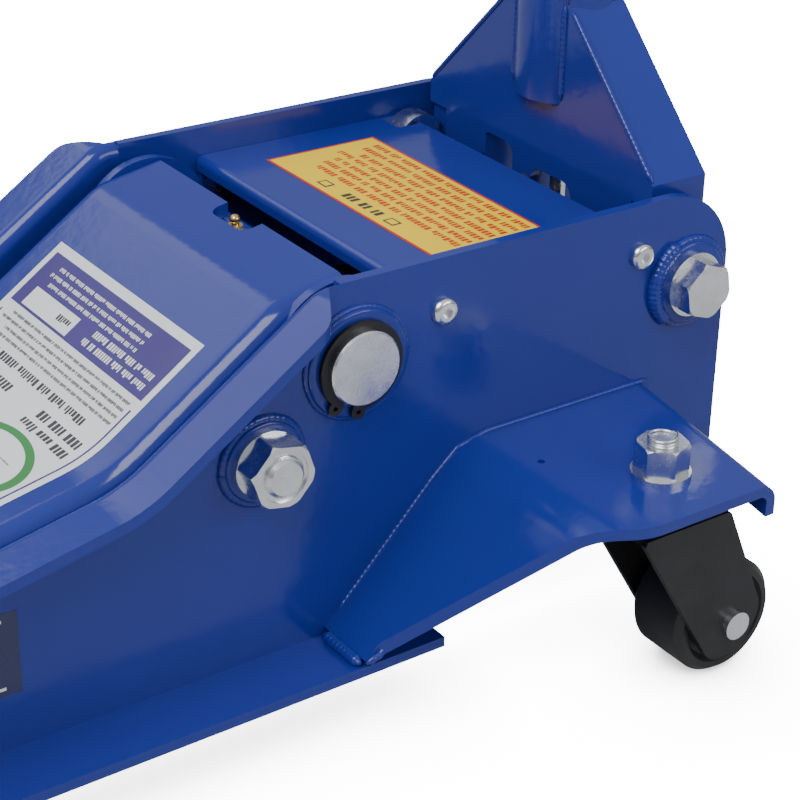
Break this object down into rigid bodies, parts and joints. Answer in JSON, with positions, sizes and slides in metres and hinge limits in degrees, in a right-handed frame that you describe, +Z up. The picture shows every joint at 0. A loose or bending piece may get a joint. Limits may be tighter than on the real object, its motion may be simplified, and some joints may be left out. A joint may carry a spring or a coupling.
{
  "type": "hydraulic trolley jack",
  "caption": "Low-profile hydraulic floor jack: pressed side plates, pivoting lift arm with parallel links and saddle, ram unit, pump handle yoke, front wheels and swivel casters.",
  "frame": {"origin": "on the floor under the centre of the whole jack's bounding box, arm lowered and handle upright", "axes": "+X to the rear (handle end), +Y to the jack's right seen from the handle, +Z up"},
  "size_m": [0.652, 0.362, 1.003],
  "materials": {
    "blue_paint": "glossy royal-blue enamel with slight orange peel",
    "zinc": "bright zinc plating",
    "black_oxide": "black-oxide or e-coated pressed steel",
    "black_casting": "black painted casting",
    "ground_steel": "ground steel",
    "bronze": "sintered bronze",
    "brass": "machined brass",
    "wheel_black": "black moulded nylon",
    "wheel_iron": "black painted cast iron",
    "seal_rubber": "nitrile rubber",
    "handle_paint": "glossy royal-blue enamel",
    "grip_rubber": "black ribbed rubber"
  },
  "bodies": {
    "frame": {"side_plate_left": "blue_paint", "side_plate_right": "blue_paint", "caster_bracket_left": "blue_paint", "caster_bracket_right": "blue_paint", "weld_bosses": "blue_paint", "base_plate": "blue_paint", "front_cross_plate": "blue_paint", "cover_plate": "blue_paint", "cover_screws": "zinc", "cover_nuts": "zinc", "main_shaft": "zinc", "shaft_circlips": "black_oxide", "link_studs": "zinc", "link_nuts": "zinc", "yoke_bolts": "zinc", "front_axle": "zinc", "front_axle_nuts": "zinc", "pump_block": "black_casting", "block_screws": "zinc", "reservoir_shell": "black_casting", "filler_plug": "seal_rubber", "ram_cylinder": "ground_steel", "gland_nut": "black_casting", "return_springs": "black_oxide", "pump_spring": "black_oxide", "caster_races": "black_oxide", "caster_fasteners": "zinc"},
    "lift_arm": {"lift_arm": "blue_paint", "arm_pivot_tube": "blue_paint", "arm_bushes": "bronze", "grease_nipple": "brass", "lever_lugs": "blue_paint", "lever_pin": "zinc", "arm_front_pin": "zinc", "arm_pin_circlips": "black_oxide"},
    "link_left": {"link_rod_left": "blue_paint"},
    "link_right": {"link_rod_right": "blue_paint"},
    "saddle_bracket": {"saddle_bracket": "blue_paint", "bracket_link_pin": "zinc"},
    "saddle": {"saddle": "black_casting"},
    "ram": {"ram_rod": "ground_steel", "piston_seal": "seal_rubber", "crosshead": "ground_steel"},
    "pump_plunger": {"pump_plunger": "ground_steel"},
    "release_valve": {"release_valve": "zinc"},
    "yoke": {"handle_yoke": "blue_paint", "yoke_roller": "zinc", "clamp_bolt": "zinc"},
    "handle": {"handle_lower": "handle_paint", "handle_upper": "handle_paint", "handle_grip": "grip_rubber", "release_coupling": "zinc"},
    "front_wheel_left": {"front_wheel_left": "wheel_iron"},
    "front_wheel_right": {"front_wheel_right": "wheel_iron"},
    "caster_left": {"caster_fork_left": "black_oxide", "caster_axle_left": "zinc"},
    "caster_right": {"caster_fork_right": "black_oxide", "caster_axle_right": "zinc"},
    "caster_wheel_left": {"caster_wheel_left": "wheel_black"},
    "caster_wheel_right": {"caster_wheel_right": "wheel_black"}
  },
  "joints": [
    {"name": "arm_lift", "type": "hinge", "parent": "frame", "child": "lift_arm", "pos_m": [0.134, 0, 0.14], "axis": [0, 1, 0], "range_deg": [0, 71.37]},
    {"name": "link_left_swing", "type": "hinge", "parent": "frame", "child": "link_left", "pos_m": [0.093, -0.06, 0.111], "axis": [0, 1, 0], "range_deg": [0, 71.37]},
    {"name": "link_right_swing", "type": "hinge", "parent": "frame", "child": "link_right", "pos_m": [0.093, 0.06, 0.111], "axis": [0, 1, 0], "range_deg": [0, 71.37]},
    {"name": "bracket_tilt", "type": "hinge", "parent": "lift_arm", "child": "saddle_bracket", "pos_m": [-0.20788, 0, 0.06502], "axis": [0, 1, 0], "range_deg": [-71.37, 0]},
    {"name": "saddle_swivel", "type": "hinge", "parent": "saddle_bracket", "child": "saddle", "pos_m": [-0.22987, 0, 0.11], "axis": [0, 0, 1], "continuous": true},
    {"name": "ram_slide", "type": "slide", "parent": "frame", "child": "ram", "axis": [-1, 0, 0], "range_m": [0, 0.06069], "deforming": ["return_springs"]},
    {"name": "handle_pump", "type": "hinge", "parent": "frame", "child": "yoke", "pos_m": [0.2985, 0, 0.134], "axis": [0, 1, 0], "range_deg": [0, 54]},
    {"name": "pump_stroke", "type": "slide", "parent": "frame", "child": "pump_plunger", "axis": [-1, 0, 0], "range_m": [0, 0.01634], "deforming": ["pump_spring"]},
    {"name": "handle_twist", "type": "hinge", "parent": "yoke", "child": "handle", "pos_m": [0.297, 0, 0.2], "axis": [0, 0, 1], "range_deg": [0, 180]},
    {"name": "release_turn", "type": "hinge", "parent": "frame", "child": "release_valve", "pos_m": [0.284, 0, 0.134], "axis": [1, 0, 0], "range_deg": [0, 180]},
    {"name": "front_wheel_left_spin", "type": "hinge", "parent": "frame", "child": "front_wheel_left", "pos_m": [-0.286, -0.109, 0.04], "axis": [0, 1, 0], "continuous": true},
    {"name": "caster_left_swivel", "type": "hinge", "parent": "frame", "child": "caster_left", "pos_m": [0.2315, -0.151, 0.079], "axis": [0, 0, 1], "continuous": true},
    {"name": "caster_left_roll", "type": "hinge", "parent": "caster_left", "child": "caster_wheel_left", "pos_m": [0.2595, -0.151, 0.025], "axis": [0, 1, 0], "continuous": true},
    {"name": "front_wheel_right_spin", "type": "hinge", "parent": "frame", "child": "front_wheel_right", "pos_m": [-0.286, 0.109, 0.04], "axis": [0, 1, 0], "continuous": true},
    {"name": "caster_right_swivel", "type": "hinge", "parent": "frame", "child": "caster_right", "pos_m": [0.2315, 0.151, 0.079], "axis": [0, 0, 1], "continuous": true},
    {"name": "caster_right_roll", "type": "hinge", "parent": "caster_right", "child": "caster_wheel_right", "pos_m": [0.2595, 0.151, 0.025], "axis": [0, 1, 0], "continuous": true}
  ],
  "couplings": [
    {"joint": "link_left_swing", "follows": "arm_lift", "ratio": 1},
    {"joint": "link_right_swing", "follows": "arm_lift", "ratio": 1},
    {"joint": "bracket_tilt", "follows": "arm_lift", "ratio": -1},
    {"joint": "ram_slide", "follows": "arm_lift", "m_per_rad": 0.04872},
    {"joint": "pump_stroke", "follows": "handle_pump", "m_per_rad": 0.01734},
    {"joint": "release_turn", "follows": "handle_twist", "ratio": 1}
  ]
}
